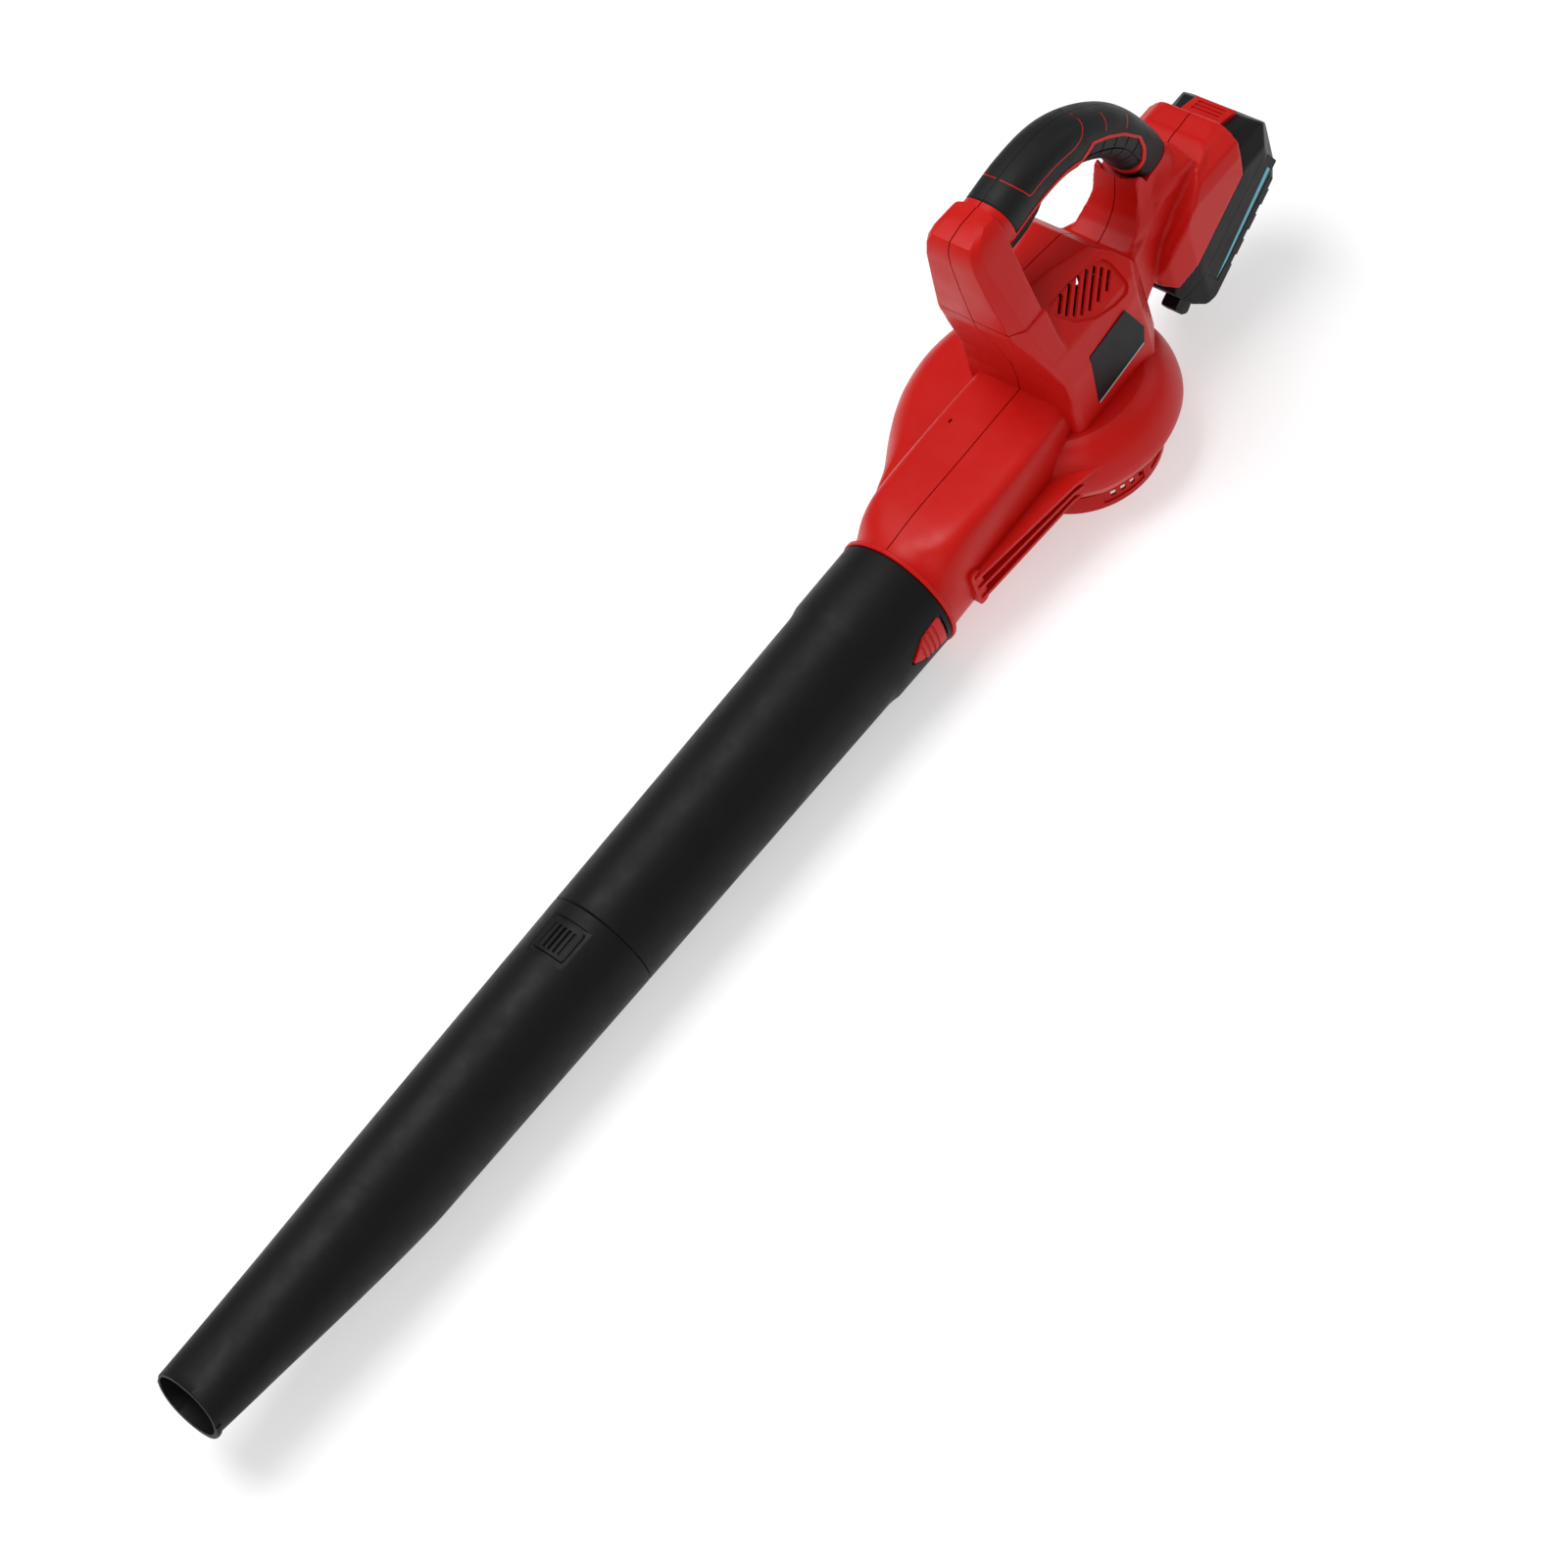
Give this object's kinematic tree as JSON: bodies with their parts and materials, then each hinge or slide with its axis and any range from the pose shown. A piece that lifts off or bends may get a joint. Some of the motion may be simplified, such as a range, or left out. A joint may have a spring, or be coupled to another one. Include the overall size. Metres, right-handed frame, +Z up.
{
  "type": "leaf blower",
  "caption": "Cordless leaf blower: red fan housing with D-handle and trigger, plug-on black blow tube and flat nozzle, slide-in battery pack at the back.",
  "frame": {"origin": "on the fan axis, at the flat underside of the intake grille's hub", "axes": "+X along the blow tube towards the nozzle mouth, +Y to the left side, +Z up along the fan axis"},
  "size_m": [1.0648, 0.1807, 0.2637],
  "materials": {
    "housing_red": "satin moulded plastic, very fine grain",
    "tube_black": "satin black moulded plastic",
    "label_black": "matte black film on a thin plate",
    "grip_rubber": "soft overmould, fine grain",
    "fan_grey": "glass-filled plastic",
    "bright_steel": "plated steel",
    "motor_steel": "zinc-plated drawn steel",
    "winding_copper": "varnished laminations and copper windings",
    "contact_brass": "bare brass",
    "circuit_green": "solder-mask green",
    "cell_sleeve": "shrink sleeve over a metal can",
    "strip_blue": "printed strip",
    "lead_red": "silicone insulation",
    "lead_black": "silicone insulation"
  },
  "bodies": {
    "housing": {"left_housing_shell": "housing_red", "right_housing_shell": "housing_red", "intake_cover": "housing_red", "intake_grille": "housing_red", "housing_screw_1": "bright_steel", "housing_screw_2": "bright_steel", "housing_screw_3": "bright_steel", "housing_screw_4": "bright_steel", "housing_screw_5": "bright_steel", "left_label_plate": "label_black", "right_label_plate": "label_black", "motor_can": "motor_steel", "motor_end_bell": "tube_black", "lower_bearing": "bright_steel", "upper_bearing": "bright_steel", "motor_mount_plate": "bright_steel", "motor_screw_1": "bright_steel", "motor_screw_2": "bright_steel", "motor_screw_3": "bright_steel", "left_grip_overmould": "grip_rubber", "right_grip_overmould": "grip_rubber", "finger_grip_pad": "grip_rubber", "power_switch": "tube_black", "trigger_spring": "bright_steel", "speed_controller_board": "circuit_green", "smoothing_capacitor": "cell_sleeve", "terminal_block": "tube_black", "left_contact_blade": "contact_brass", "right_contact_blade": "contact_brass", "battery_lead": "lead_red", "motor_lead": "lead_red", "motor_return_lead": "lead_black"},
    "rotor": {"impeller": "fan_grey", "impeller_nut": "bright_steel", "motor_shaft": "bright_steel", "armature": "winding_copper", "commutator": "contact_brass"},
    "trigger": {"trigger": "tube_black"},
    "tube": {"blow_tube": "tube_black"},
    "tube_latch": {"tube_latch_button": "housing_red"},
    "nozzle": {"nozzle": "tube_black"},
    "nozzle_latch": {"nozzle_latch_button": "tube_black"},
    "battery": {"battery_upper_case": "tube_black", "battery_lower_case": "tube_black", "left_battery_strip": "strip_blue", "right_battery_strip": "strip_blue", "battery_cell_1": "cell_sleeve", "battery_cell_2": "cell_sleeve", "battery_cell_3": "cell_sleeve", "battery_cell_4": "cell_sleeve", "battery_cell_5": "cell_sleeve", "battery_circuit_board": "circuit_green"},
    "release_button": {"battery_release_button": "housing_red"}
  },
  "joints": [
    {"name": "fan_spin", "type": "hinge", "parent": "housing", "child": "rotor", "pos_m": [0, 0, 0.1], "axis": [0, 0, 1], "continuous": true},
    {"name": "trigger_pull", "type": "hinge", "parent": "housing", "child": "trigger", "pos_m": [0.017, 0, 0.233], "axis": [0, 1, 0], "range_deg": [0, 9], "stiffness_Nm_per_rad": 0.3, "springref_deg": -20.05, "deforming": ["trigger_spring"]},
    {"name": "tube_pull", "type": "slide", "parent": "housing", "child": "tube", "axis": [1, 0, 0], "range_m": [0, 0.06]},
    {"name": "tube_latch_press", "type": "slide", "parent": "tube", "child": "tube_latch", "axis": [0, -1, 0], "range_m": [0, 0.002], "stiffness_N_per_m": 600, "springref_m": -0.002},
    {"name": "nozzle_pull", "type": "slide", "parent": "tube", "child": "nozzle", "axis": [1, 0, 0], "range_m": [0, 0.05]},
    {"name": "nozzle_latch_press", "type": "slide", "parent": "nozzle", "child": "nozzle_latch", "axis": [0, 0, -1], "range_m": [0, 0.0018], "stiffness_N_per_m": 600, "springref_m": -0.002},
    {"name": "battery_slide", "type": "slide", "parent": "housing", "child": "battery", "axis": [-0.8949, 0, 0.4462], "range_m": [0, 0.1]},
    {"name": "battery_release_press", "type": "slide", "parent": "battery", "child": "release_button", "axis": [0.262, 0, -0.9651], "range_m": [0, 0.0035], "stiffness_N_per_m": 800, "springref_m": -0.002}
  ]
}
